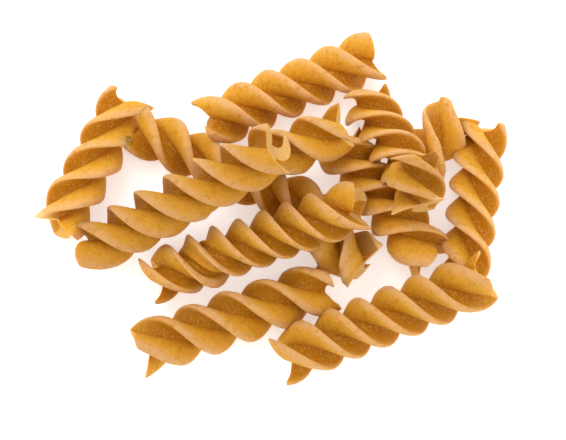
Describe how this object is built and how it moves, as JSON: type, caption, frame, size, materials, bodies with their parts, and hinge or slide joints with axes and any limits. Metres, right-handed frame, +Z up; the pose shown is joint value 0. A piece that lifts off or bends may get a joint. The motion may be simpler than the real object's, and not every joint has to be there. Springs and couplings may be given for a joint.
{
  "type": "heap of dry fusilli pasta",
  "caption": "Loose heap of dry wholewheat fusilli, three-bladed pasta spirals lying flat and leaning on each other, standing on small flats under the lowest rims.",
  "frame": {"origin": "centre of the heap's bounding box, on the table", "axes": "+Z up from the table, -Y towards the viewer of the picture, +X to the viewer's right, along the heap's longest side"},
  "size_m": [0.0828, 0.0632, 0.0258],
  "materials": {
    "dry_pasta": "matte dry wholewheat pasta, tan rims and amber hollows"
  },
  "bodies": {
    "root": {"pasta_heap": "dry_pasta"}
  },
  "joints": []
}
